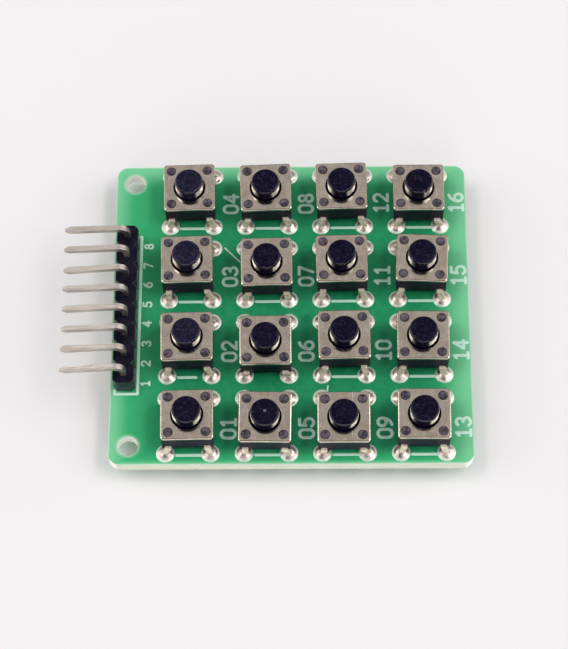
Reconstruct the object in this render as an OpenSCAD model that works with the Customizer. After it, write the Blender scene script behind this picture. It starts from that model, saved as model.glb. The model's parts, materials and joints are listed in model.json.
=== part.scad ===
// Sixteen-key matrix keypad: push switches and a bent pin header on one board.
// Millimetres. The origin is midway between the two mounting holes, on the board's underside.
// +X runs from the pin header to the far column of keys, +Y to the back row, +Z out of the keys.

/* [Board] */
// Thickness of the board
board_thk = 1.6; // [1.2:0.1:2]
// Distance from the far column's leg holes to the board's right edge
end_margin = 3.22; // [2:0.02:6]
// Distance from the outer rows' leg holes to the board's front and back edges
side_margin = 1.35; // [1.2:0.05:3]
// Radius of the board's corners
corner_r = 1.5; // [0.6:0.1:2]
// Distance from the board's left edge to the line of the mounting holes
hole_inset = 2.25; // [2:0.05:2.6]
// Distance from the board's front and back edges to the mounting holes
hole_margin = 2.3; // [2:0.05:2.8]
// Diameter of a mounting hole
hole_d = 2.4; // [2:0.1:2.6]

/* [Key grid] */
// Distance from the line of the mounting holes to the first column of keys
first_key_x = 6.98; // [6.5:0.02:7.5]
// Pitch of the columns, along X
pitch_x = 9.05; // [8.8:0.05:9.4]
// Pitch of the rows, along Y
pitch_y = 9.7; // [9.3:0.05:9.9]
// Distance between a key's left and right leg holes
land_x = 5.2; // [5:0.05:5.4]
// Distance between a key's front and back leg holes
land_y = 6.8; // [6.6:0.05:7]
// Diameter of a leg hole
leg_hole_d = 1.1; // [1:0.05:1.2]

/* [Switch base] */
// Gap between the board and the underside of a switch base
base_gap = 0.5; // [0.4:0.05:0.7]
// Side of a switch base
base_w = 5.9; // [5.8:0.05:6]
// Height of a switch base
base_h = 3; // [2.9:0.05:3.4]
// Chamfer round the foot of a switch base
base_chamfer = 0.3; // [0.1:0.05:0.4]
// Diameter of the well that holds the dome and the plunger's flange
well_d = 4.8; // [4.7:0.05:4.9]
// Thickness of the floor under the well
floor_thk = 0.9; // [0.8:0.05:1]
// Distance between the stake posts at the corners
stake_pitch = 4.3; // [4.25:0.05:4.4]
// Diameter of a stake post
stake_d = 0.8; // [0.7:0.05:0.9]
// Diameter of a stake post's flattened head
stake_head_d = 1.15; // [1.05:0.05:1.2]
// Height of a stake post's flattened head
stake_head_h = 0.12; // [0.08:0.02:0.2]

/* [Cover plate] */
// Side of a cover plate
cover_w = 6.1; // [5.9:0.05:6.2]
// Thickness of a cover plate
cover_thk = 0.3; // [0.2:0.05:0.4]
// Radius of a cover plate's corners
cover_r = 0.4; // [0.2:0.05:0.5]
// Radius to which the blanking tool rolls a cover plate's upper edge
cover_edge = 0.14; // [0.04:0.02:0.18]
// Diameter of the window that the plunger comes through
window_d = 3.8; // [3.7:0.05:3.9]

/* [Plunger and dome] */
// Diameter of the plunger where it passes the cover plate
stem_d = 3.5; // [3.4:0.05:3.55]
// Height of the plunger above the cover plate
stem_out = 1.7; // [1:0.1:3]
// How much thinner the plunger is at its top
stem_draft = 0.16; // [0:0.02:0.3]
// Radius of the plunger's top edge
stem_edge_r = 0.3; // [0.1:0.05:0.4]
// Diameter of the plunger's flange
flange_d = 4.3; // [4.1:0.05:4.4]
// Thickness of the plunger's flange
flange_thk = 0.6; // [0.4:0.05:0.8]
// Diameter of the nub that pushes on the dome
nub_d = 1.4; // [1:0.1:1.8]
// Travel of the plunger
travel = 0.25; // [0.2:0.01:0.3]
// Running gap between the plunger and what it meets above and below
play = 0.02; // [0.01:0.01:0.04]
// Diameter of the snap dome
dome_d = 4.2; // [4.1:0.05:4.3]
// Thickness of the snap dome's sheet
dome_thk = 0.08; // [0.06:0.01:0.1]

/* [Terminals] */
// Distance between a switch's left and right terminal strips
strip_pitch = 4.5; // [4.4:0.05:4.6]
// Width of a terminal strip and its legs
leg_w = 0.7; // [0.6:0.05:0.8]
// Thickness of the terminal sheet
leg_thk = 0.3; // [0.25:0.01:0.3]
// Width of the tongue that reaches under the dome
tongue_w = 0.9; // [0.7:0.05:1.2]
// Diameter of the centre contact
contact_d = 1.2; // [1:0.1:1.4]
// Width of the ring that carries the dome's rim
ring_w = 0.5; // [0.4:0.05:0.6]
// Thickness of the ring that carries the dome's rim
ring_thk = 0.15; // [0.1:0.01:0.2]
// Height of the centre contact above that ring
contact_rise = 0.1; // [0.05:0.01:0.15]
// Length of a leg below the board
leg_below = 1.9; // [1.5:0.1:2.5]

/* [Pin header] */
// Distance from the line of the mounting holes to the row of pins
header_x = -0.55; // [-0.8:0.05:-0.4]
// Pitch of the pins
pin_pitch = 2.54; // [2.5:0.01:2.6]
// Side of a square pin
pin_side = 0.64; // [0.6:0.01:0.66]
// Diameter of a pin hole in the board
pin_hole_d = 1; // [0.96:0.02:1.1]
// Width of the header's body
body_w = 2.5; // [2.3:0.05:2.6]
// Height of the header's body
body_h = 2.54; // [2:0.02:3]
// Depth of the notches between the header's units
unit_notch = 0.45; // [0.2:0.05:0.6]
// Height of the pins' level run above the board, at the middle of a pin
pin_rise = 4.28; // [4:0.05:6]
// Radius of the bend, at the middle of a pin
bend_r = 0.9; // [0.7:0.05:1.2]
// Length of a pin from its bend to its tip, along X
pin_reach = 6.35; // [4:0.05:9]
// Length of a pin below the header's body
pin_tail = 3; // [2.6:0.1:3.4]
// Length of the taper at a pin's ends
pin_taper = 0.5; // [0.2:0.05:0.8]

/* [Solder] */
// Diameter of the solder on a land
bead_d = 2.2; // [2:0.05:2.3]
// Height of the solder on top of the board
bead_h = 0.3; // [0.2:0.05:0.3]
// Height of the solder cone under the board
cone_h = 0.9; // [0.6:0.05:1.2]

/* [Hidden] */
$fn = 32;
COLUMNS = 4;
ROWS = 4;
KEYS = COLUMNS * ROWS;
PINS = 8;
KEY_NODES = ["switch_base", "cover_plate", "plunger"];
function key_node(name, key) = str(name, "_", key < 9 ? "0" : "", key + 1);

// Keys 1 to 4 are the first column from front to back, 5 to 8 the second, and so on.
// How far each key sits off its place: along X, along Y, its turn and its tip to the front.
seat_x = [0, -0.2, -0.35, -0.2, -0.1, -0.1, 0, -0.15, -0.15, 0, -0.2, -0.15, 0, 0.1, 0.2, 0];
seat_y = [0, 0.1, 0.25, 0.1, -0.2, -0.35, 0, 0.1, -0.3, 0.2, 0.3, 0.2, 0.05, 0.1, 0.3, -0.1];
seat_turn = [1, 1, 1.5, 1.5, -1, 0.5, 1, 2, 0, 1, 1, 1.5, -0.5, -0.5, -2.5, 0];
seat_tip = [0.5, 1, -0.5, 1, 3, 3, 2, 2, 2.5, 0.5, 0.5, 1, 1.5, 1, 0.5, 0];
// How far each pin hangs below level, from the front pin to the back one, in degrees
pin_droop = [7, 6, 6, 6, 5, 8, 4.5, 3.5];

// Slack left where one solid must clear another, and overlap given to a cut
eps = 0.01;
cut = 1;
// Points on a quarter round, on a cover plate's rolled edge and on the dome's curve
arc_steps = 5;
edge_steps = 3;
dome_steps = 8;
// How full the solder is: the bead's shoulder, the cone's waist and the neck round the leg
bead_belly = 0.75;
cone_waist = 0.3;
cone_neck = 0.8;
// Straight stretch of a leg above the solder
leg_clear = 0.1;
// Extra thickness of a terminal where it bends down at the side of the base
shoulder_swell = 0.1;
// Depth of the dish in a stake post's head, and half the width of its floor, as shares
dish_depth = 0.5;
dish_floor = 0.5;
// Half the width of the slot for a leg in the side of a base, beyond the leg itself
leg_slack = 0.2;
leg_slot_depth = 0.45;
// Part of the ring left open, so that it clears the other strip, in degrees each way
ring_gap = 42;
// Chamfer at the end of a leg, and slimming at the end of a pin
leg_tip = 0.15;
pin_tip = 0.17;
// Facets of a full turn at the pins' bends
bend_facets = 64;
// The header's underside stands clear of the board along a trough
trough_w = 1.3;
trough_h = 0.2;

board_len = hole_inset + first_key_x + (COLUMNS - 1) * pitch_x + land_x / 2 + end_margin;
board_wid = (ROWS - 1) * pitch_y + land_y + 2 * side_margin;
hole_span = board_wid - 2 * hole_margin;
base_top = base_gap + base_h;
cover_top = base_top + cover_thk;
floor_z = base_gap + floor_thk;
strip_z = floor_z - leg_thk;
ring_z = floor_z + ring_thk;
contact_top = ring_z + contact_rise;
dome_rise = contact_rise + travel;
dome_top = ring_z + dome_rise + dome_thk;
leg_top = board_thk + bead_h + leg_clear;
shoulder_d = leg_thk + shoulder_swell;
strip_reach = (base_w + shoulder_d) / 2;
bend_z = board_thk + pin_rise - bend_r;

function key_x(key) = first_key_x + floor(key / ROWS) * pitch_x;
function key_y(key) = (key % ROWS - (ROWS - 1) / 2) * pitch_y;
function pin_y(pin) = (pin - (PINS - 1) / 2) * pin_pitch;
function arc(centre, r, from, to, steps = arc_steps) = [
    for (i = [0 : steps])
        let (a = from + (to - from) * i / steps)
        centre + r * [cos(a), sin(a)]
];

// The point of a key that its tip and turn go about, at the height of the terminal strips
function seat(key) = [key_x(key) + seat_x[key], key_y(key) + seat_y[key], board_thk + strip_z];

function tipped(p, a) = [p.x, p.y * cos(a) - p.z * sin(a), p.y * sin(a) + p.z * cos(a)];
function turned(p, a) = [p.x * cos(a) - p.y * sin(a), p.x * sin(a) + p.y * cos(a), p.z];

// Where seated() takes a point of a switch
function seat_point(key, p) =
    seat(key) + turned(tipped(p - [0, 0, strip_z], seat_tip[key]), seat_turn[key]);

// Puts a switch's pieces where its key is, with the tip and turn that it was soldered at
module seated(key) {
    translate(seat(key))
        rotate([seat_tip[key], 0, seat_turn[key]])
            translate([0, 0, -strip_z])
                children();
}

// The four corners of a rectangle with sides w and d
module at_corners(w, d) {
    for (x = [-w / 2, w / 2])
        for (y = [-d / 2, d / 2])
            translate([x, y, 0]) children();
}

module rounded_plate(w, d, h, r) {
    translate([-w / 2, -d / 2 + r, 0]) cube([w, d - 2 * r, h]);
    translate([-w / 2 + r, -d / 2, 0]) cube([w - 2 * r, d, h]);
    at_corners(w - 2 * r, d - 2 * r) cylinder(r = r, h = h);
}

// A square block whose four sides all have the same outline, given as points from side to side
module four_sided(w, outline) {
    intersection() {
        rotate([90, 0, 0]) linear_extrude(w, center = true) polygon(outline);
        rotate([90, 0, 90]) linear_extrude(w, center = true) polygon(outline);
    }
}

module circuit_board() {
    color("seagreen") difference() {
        translate([board_len / 2 - hole_inset, 0, 0])
            rounded_plate(board_len, board_wid, board_thk, corner_r);
        for (y = [-hole_span / 2, hole_span / 2])
            translate([0, y, -cut]) cylinder(d = hole_d, h = board_thk + 2 * cut);
        for (key = [0 : KEYS - 1])
            translate([key_x(key), key_y(key), -cut])
                at_corners(land_x, land_y)
                    cylinder(d = leg_hole_d, h = board_thk + 2 * cut);
        for (pin = [0 : PINS - 1])
            translate([header_x, pin_y(pin), -cut])
                cylinder(d = pin_hole_d, h = board_thk + 2 * cut);
    }
}

// One terminal strip crosses the base under the well's floor; side is -1 or 1
module strip(side, reach) {
    translate([side * strip_pitch / 2 - leg_w / 2, -reach, strip_z])
        cube([leg_w, 2 * reach, leg_thk]);
}

module tongue() {
    translate([-strip_pitch / 2, -tongue_w / 2, strip_z])
        cube([strip_pitch / 2, tongue_w, leg_thk]);
}

// The stake post and the head that it is flattened to over the cover plate
module stake() {
    r = stake_d / 2;
    head_r = stake_head_d / 2;
    head_top = cover_thk + stake_head_h;
    dish_z = head_top - stake_head_h * dish_depth;
    translate([0, 0, base_top]) rotate_extrude() polygon([
        [0, -eps], [r, -eps], [r, cover_thk], [head_r, cover_thk],
        [(r + head_r) / 2, head_top], [r, head_top], [r * dish_floor, dish_z], [0, dish_z]
    ]);
}

// The disc that the dome's middle snaps down on, which stands on the tongue
module contact() {
    translate([0, 0, strip_z]) cylinder(d = contact_d, h = contact_top - strip_z);
}

module base_block() {
    half = base_w / 2;
    four_sided(base_w + cut, [
        [-half, base_top], [-half, base_gap + base_chamfer], [-half + base_chamfer, base_gap],
        [half - base_chamfer, base_gap], [half, base_gap + base_chamfer], [half, base_top]
    ]);
}

module leg_slots() {
    width = leg_w + 2 * leg_slack;
    at_corners(strip_pitch, base_w)
        translate([-width / 2, -leg_slot_depth, 0])
            cube([width, 2 * leg_slot_depth, strip_z]);
}

module switch_base(key) {
    color([0.12, 0.12, 0.15]) seated(key) {
        difference() {
            base_block();
            translate([0, 0, floor_z]) cylinder(d = well_d, h = base_h);
            strip(-1, base_w);
            strip(1, base_w);
            tongue();
            contact();
            leg_slots();
        }
        at_corners(stake_pitch, stake_pitch) stake();
    }
}

// Square sheet whose upper edge is rolled over all the way round
module cover_blank() {
    flat = cover_w - 2 * cover_r;
    rim = concat(
        [[0, 0], [cover_r, 0]],
        arc([cover_r - cover_edge, cover_thk - cover_edge], cover_edge, 0, 90, edge_steps),
        [[0, cover_thk]]
    );
    translate([0, 0, base_top]) {
        linear_extrude(cover_thk) square(flat, center = true);
        for (turn = [0 : 90 : 270]) rotate(turn) translate([flat / 2, 0, 0]) {
            rotate([90, 0, 0]) linear_extrude(flat, center = true) polygon(rim);
            translate([0, flat / 2, 0]) rotate_extrude(angle = 90) polygon(rim);
        }
    }
}

module cover_plate(key) {
    color([0.65, 0.6, 0.55]) seated(key) difference() {
        cover_blank();
        translate([0, 0, base_top - cut]) cylinder(d = window_d, h = cover_thk + 2 * cut);
        at_corners(stake_pitch, stake_pitch)
            translate([0, 0, base_top - cut]) cylinder(d = stake_d, h = cover_thk + 2 * cut);
    }
}

// Stem, flange and nub in one moulding, turned about the key's axis
module plunger(key) {
    top = cover_top + stem_out;
    top_r = (stem_d - stem_draft) / 2;
    flange_top = base_top - play;
    flange_foot = flange_top - flange_thk;
    color([0.09, 0.08, 0.15]) seated(key) rotate_extrude() polygon(concat(
        [[0, dome_top + play], [nub_d / 2, dome_top + play], [nub_d / 2, flange_foot]],
        [[flange_d / 2, flange_foot], [flange_d / 2, flange_top], [stem_d / 2, flange_top]],
        [[stem_d / 2, cover_top]],
        arc([top_r - stem_edge_r, top - stem_edge_r], stem_edge_r, 0, 90),
        [[0, top]]
    ));
}

// A cap of thin sheet, resting by its rim on the ring and free of the centre contact
module snap_dome() {
    half = dome_d / 2;
    ball_r = (half * half + dome_rise * dome_rise) / (2 * dome_rise);
    middle = [0, ring_z + dome_rise - ball_r];
    slope = asin(half / ball_r);
    rotate_extrude() polygon(concat(
        arc(middle, ball_r, 90 - slope, 90, dome_steps),
        arc(middle, ball_r + dome_thk, 90, 90 - slope, dome_steps)
    ));
}

module snap_domes() {
    color("silver") for (key = [0 : KEYS - 1]) seated(key) snap_dome();
}

// From a strip's end over the shoulder, down to the board's hole and straight through it
module leg(key, side, end) {
    hole = [key_x(key) + side * land_x / 2, key_y(key) + end * land_y / 2, 0];
    ankle = hole + [0, 0, leg_top - leg_clear];
    shoulder = [side * strip_pitch / 2, end * strip_reach, floor_z - shoulder_d / 2];
    seated(key) translate(shoulder) knuckle(shoulder_d);
    shin(ankle, seat_point(key, shoulder));
    translate(ankle) knuckle(leg_thk);
    translate(hole) leg_blade();
}

// A round bend across the leg's width
module knuckle(d) {
    rotate([0, 90, 0]) cylinder(d = d, h = leg_w, center = true);
}

// The sloping run of a leg between two bends, square to the leg's width at the first
module shin(foot, top) {
    run = top - foot;
    len = norm(run);
    translate(foot)
        rotate([-asin(run.y / len), atan2(run.x, run.z), 0])
            translate([-leg_w / 2, -leg_thk / 2, 0])
                cube([leg_w, leg_thk, len]);
}

module leg_blade() {
    rotate([90, 0, 0]) linear_extrude(leg_thk, center = true) polygon([
        [-leg_w / 2, leg_top], [-leg_w / 2, leg_tip - leg_below], [-leg_w / 2 + leg_tip, -leg_below],
        [leg_w / 2 - leg_tip, -leg_below], [leg_w / 2, leg_tip - leg_below], [leg_w / 2, leg_top]
    ]);
}

module legs(key, side) {
    for (end = [-1, 1]) leg(key, side, end);
}

// The strip on the header's side, with the tongue and the contact under the dome's middle
module centre_terminal(key) {
    seated(key) {
        strip(-1, strip_reach);
        tongue();
        contact();
    }
    legs(key, -1);
}

// The other strip, with the open ring that the dome's rim stands on
module rim_terminal(key) {
    ring_r = (dome_d + ring_w / 2) / 2;
    seated(key) {
        strip(1, strip_reach);
        translate([0, 0, floor_z])
            rotate([0, 0, ring_gap - 180])
                rotate_extrude(angle = 360 - 2 * ring_gap)
                    translate([ring_r - ring_w, 0]) square([ring_w, ring_thk]);
    }
    legs(key, 1);
}

module centre_terminals() {
    color([0.72, 0.66, 0.5]) for (key = [0 : KEYS - 1]) centre_terminal(key);
}

module rim_terminals() {
    color([0.72, 0.66, 0.5]) for (key = [0 : KEYS - 1]) rim_terminal(key);
}

// Solder fills a plated hole, beads on the land above and climbs the leg below
module joint(hole_r, with_bead) {
    r = bead_d / 2;
    neck = hole_r * cone_neck;
    waist = neck + (r - neck) * cone_waist;
    bead = with_bead
        ? [[r, board_thk], [r * bead_belly, board_thk + bead_h * bead_belly], [0, board_thk + bead_h]]
        : [[0, board_thk]];
    rotate_extrude() polygon(concat(
        [[0, -cone_h], [neck, -cone_h], [waist, -cone_h / 2], [r, 0], [hole_r, 0]],
        [[hole_r, board_thk]],
        bead
    ));
}

// The room that a leg or a pin takes through its solder
module core(w, d) {
    cube([w, d, 2 * (board_thk + cone_h + cut)], center = true);
}

module switch_solder() {
    color([0.8, 0.8, 0.82])
        for (key = [0 : KEYS - 1])
            translate([key_x(key), key_y(key), 0])
                at_corners(land_x, land_y)
                    difference() {
                        joint(leg_hole_d / 2, true);
                        core(leg_w, leg_thk);
                    }
}

// A row of eight-sided units that would snap apart at the notches
module header_body() {
    half = body_w / 2;
    side = concat(
        [for (pin = [0 : PINS - 1]) each [
            [half - unit_notch, pin_y(pin) - pin_pitch / 2],
            [half, pin_y(pin) - pin_pitch / 2 + unit_notch],
            [half, pin_y(pin) + pin_pitch / 2 - unit_notch]
        ]],
        [[half - unit_notch, pin_y(PINS - 1) + pin_pitch / 2]]
    );
    outline = concat(side, [for (p = side) -p]);
    color([0.1, 0.09, 0.16]) translate([header_x, 0, board_thk]) difference() {
        linear_extrude(body_h) polygon(outline);
        for (pin = [0 : PINS - 1])
            translate([0, pin_y(pin), 0])
                cube([pin_side, pin_side, 2 * (body_h + cut)], center = true);
        cube([trough_w, (PINS + 1) * pin_pitch, 2 * trough_h], center = true);
    }
}

// A straight square pin that starts at the origin and tapers to its end, up Z
module pin_bar(len) {
    half = pin_side / 2;
    outline = [
        [-half, 0], [half, 0], [half, len - pin_taper], [half - pin_tip, len],
        [-half + pin_tip, len], [-half, len - pin_taper]
    ];
    intersection() {
        rotate([90, 0, 0]) linear_extrude(pin_side, center = true) polygon(outline);
        rotate([90, 0, 90]) linear_extrude(pin_side, center = true) polygon(outline);
    }
}

// Up through the board and the body, round the bend, and out over the board's edge
module header_pin(pin) {
    turn = 90 + pin_droop[pin];
    translate([header_x, pin_y(pin), bend_z]) {
        mirror([0, 0, 1]) pin_bar(bend_z - board_thk + pin_tail);
        translate([-bend_r, 0, 0]) {
            rotate([90, 0, 0])
                rotate_extrude(angle = turn, $fn = bend_facets)
                    translate([bend_r, 0]) square(pin_side, center = true);
            rotate([0, -turn, 0]) translate([bend_r, 0, 0]) pin_bar(pin_reach);
        }
    }
}

module header_pins() {
    color([0.68, 0.65, 0.6]) for (pin = [0 : PINS - 1]) header_pin(pin);
}

module header_solder() {
    color([0.8, 0.8, 0.82])
        for (pin = [0 : PINS - 1])
            translate([header_x, pin_y(pin), 0])
                difference() {
                    joint(pin_hole_d / 2, false);
                    core(pin_side, pin_side);
                }
}

circuit_board();
for (key = [0 : KEYS - 1]) {
    switch_base(key);
    cover_plate(key);
    plunger(key);
}
snap_domes();
centre_terminals();
rim_terminals();
switch_solder();
header_body();
header_pins();
header_solder();
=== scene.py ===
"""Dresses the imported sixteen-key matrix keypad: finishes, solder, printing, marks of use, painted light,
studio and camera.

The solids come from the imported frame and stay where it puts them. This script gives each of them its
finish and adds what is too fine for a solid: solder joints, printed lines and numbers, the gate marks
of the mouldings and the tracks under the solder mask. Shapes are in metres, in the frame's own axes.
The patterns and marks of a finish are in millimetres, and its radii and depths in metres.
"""

import json
import logging
import math
import random
from dataclasses import dataclass, field, replace
from enum import Enum
from typing import Any, Iterable, Mapping, Optional, Sequence

import bmesh
import bpy
from mathutils import Matrix, Vector, noise


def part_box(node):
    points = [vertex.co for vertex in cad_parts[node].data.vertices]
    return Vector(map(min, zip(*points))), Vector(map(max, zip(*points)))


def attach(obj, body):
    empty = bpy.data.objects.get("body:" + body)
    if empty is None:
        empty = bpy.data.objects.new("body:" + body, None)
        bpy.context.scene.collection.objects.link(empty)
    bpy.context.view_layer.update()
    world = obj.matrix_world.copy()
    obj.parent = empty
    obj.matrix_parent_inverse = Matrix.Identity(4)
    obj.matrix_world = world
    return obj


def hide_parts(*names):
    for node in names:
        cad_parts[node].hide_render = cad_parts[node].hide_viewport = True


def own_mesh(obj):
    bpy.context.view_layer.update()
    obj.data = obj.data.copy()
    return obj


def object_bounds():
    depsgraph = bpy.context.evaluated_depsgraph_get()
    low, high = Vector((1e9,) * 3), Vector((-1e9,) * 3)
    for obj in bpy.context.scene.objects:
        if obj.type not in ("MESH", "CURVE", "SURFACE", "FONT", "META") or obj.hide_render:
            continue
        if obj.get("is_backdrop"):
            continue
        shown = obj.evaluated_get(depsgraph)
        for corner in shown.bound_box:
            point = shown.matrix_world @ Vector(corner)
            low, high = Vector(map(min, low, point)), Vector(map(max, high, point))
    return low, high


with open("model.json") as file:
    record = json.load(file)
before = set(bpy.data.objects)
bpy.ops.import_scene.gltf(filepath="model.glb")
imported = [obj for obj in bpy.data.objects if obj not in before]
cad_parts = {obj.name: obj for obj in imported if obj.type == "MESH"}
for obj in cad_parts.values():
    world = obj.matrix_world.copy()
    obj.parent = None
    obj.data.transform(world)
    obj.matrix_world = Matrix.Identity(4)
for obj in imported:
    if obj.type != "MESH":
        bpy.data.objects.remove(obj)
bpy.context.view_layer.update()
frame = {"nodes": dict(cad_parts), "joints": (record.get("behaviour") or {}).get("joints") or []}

MM = 0.001
BODY = "keypad"
UP = Vector((0, 0, 1))
PINS = 8  # in the header, from the front to the back
PIN_PITCH = 2.54 * MM
MERGE = 0.0005 * MM  # points nearer than this are one
STEEP = (0.5, 0.8)  # the Z part of a normal where a side turns into a top

log = logging.getLogger("keypad")

Color = tuple[float, float, float, float]
Pair = tuple[float, float]
Triple = tuple[float, float, float]
Points = list[Pair]
Depths = tuple[Triple, Triple]  # from the low sides inwards, and from the high ones
Socket = bpy.types.NodeSocket
Look = tuple[Socket, Socket]  # a colour and a roughness


def srgb(red: int, green: int, blue: int) -> Color:
    """Turns a colour as seen on a screen, 0 to 255, into the linear values that a shader takes.

    Args:
        red: the red part.
        green: the green part.
        blue: the blue part.

    Returns:
        The linear colour, with an alpha of 1.
    """
    def linear(part: int) -> float:
        """One part of the colour, made linear."""
        share = part / 255
        return share / 12.92 if share <= 0.04045 else ((share + 0.055) / 1.055) ** 2.4

    return linear(red), linear(green), linear(blue), 1.0


def direction(azimuth: float, elevation: float) -> Vector:
    """The way from the keypad to something that stands round it.

    Args:
        azimuth: degrees round the keypad, from 0 in front to 90 at its right.
        elevation: degrees above the table.

    Returns:
        A vector of length 1.
    """
    turn, rise = math.radians(azimuth), math.radians(elevation)
    return Vector((math.sin(turn) * math.cos(rise), -math.cos(turn) * math.cos(rise), math.sin(rise)))


class Slot(Enum):
    """The record's material slots that the added pieces take their finish from."""

    BOARD = "board"
    PLUNGER = "plunger_plastic"
    DOME = "dome_steel"
    SOLDER = "solder"


class Nodes:
    """A shader node tree that is being built. Each call adds a node and joins its inputs."""

    def __init__(self, tree: bpy.types.NodeTree) -> None:
        """Starts on the tree of a material, a world or a node group."""
        self.tree = tree

    def add(self, kind: str, inputs: Optional[Mapping[Any, Any]] = None, **settings: Any) -> bpy.types.Node:
        """Adds one node.

        Args:
            kind: the node's type name, without its Shader prefix.
            inputs: what goes into each input: a constant, or a socket to join.
            settings: the node's own settings.

        Returns:
            The new node.
        """
        node = self.tree.nodes.new(kind if kind.startswith("NodeGroup") else "ShaderNode" + kind)
        for name, value in settings.items():
            setattr(node, name, value)
        for name, value in (inputs or {}).items():
            if isinstance(value, Socket):
                self.tree.links.new(value, node.inputs[name])
            else:
                node.inputs[name].default_value = value
        return node

    def math(self, operation: str, *values: Any, clamp: bool = False) -> Socket:
        """Adds a Math node and returns its result."""
        return self.add("Math", dict(enumerate(values)), operation=operation, use_clamp=clamp).outputs[0]

    def vector(self, operation: str, inputs: Mapping[Any, Any], output: str = "Vector") -> Socket:
        """Adds a Vector Math node and returns the output that is named."""
        return self.add("VectorMath", inputs, operation=operation).outputs[output]

    def mix(self, factor: Socket, first: Any, second: Any) -> Socket:
        """Mixes two numbers: the first where the factor is 0, the second where it is 1."""
        return self.add("Mix", {0: factor, 2: first, 3: second}, data_type="FLOAT").outputs[0]

    def blend(self, mask: Socket, first: Any, second: Any) -> Socket:
        """Mixes two colours: the first where the mask is 0, the second where it is 1."""
        return self.add("Mix", {0: mask, 6: first, 7: second}, data_type="RGBA").outputs[2]

    def tint(self, tone: Any, mask: Socket, share: Any, color: Any) -> Socket:
        """Lays a share of a colour over a tone, where a mask is 1."""
        return self.blend(self.math("MULTIPLY", mask, share), tone, color)

    def remap(self, value: Socket, low: float, high: float, to_low: float = 0.0,
              to_high: float = 1.0) -> Socket:
        """Takes values smoothly from one range to another, and holds them at its ends."""
        ends = {"Value": value, "From Min": low, "From Max": high, "To Min": to_low, "To Max": to_high}
        return self.add("MapRange", ends, interpolation_type="SMOOTHSTEP").outputs["Result"]

    def parts(self, vector: Socket) -> Any:
        """The X, Y and Z parts of a vector."""
        return self.add("SeparateXYZ", {0: vector}).outputs

    def millimetres(self) -> Socket:
        """The surface point in the object's own axes, in millimetres."""
        return self.vector("SCALE", {0: self.add("TexCoord").outputs["Object"], "Scale": 1 / MM})

    def height(self) -> Socket:
        """The surface point's height, in millimetres."""
        return self.parts(self.millimetres())["Z"]

    def facing(self) -> Socket:
        """The Z part of the surface normal: 1 on a top, 0 on a side and -1 on an underside."""
        return self.parts(self.add("NewGeometry").outputs["Normal"])["Z"]


class Effect(Enum):
    """The shared effects, each a node group that is built once."""

    CLOUD = "cloudy tone"
    GRAIN = "fine grain"
    FLECK = "flecks"
    ROUNDED = "rounded edges"
    SCRATCH = "straight scratch"
    MARGIN = "margin of the board"


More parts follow.
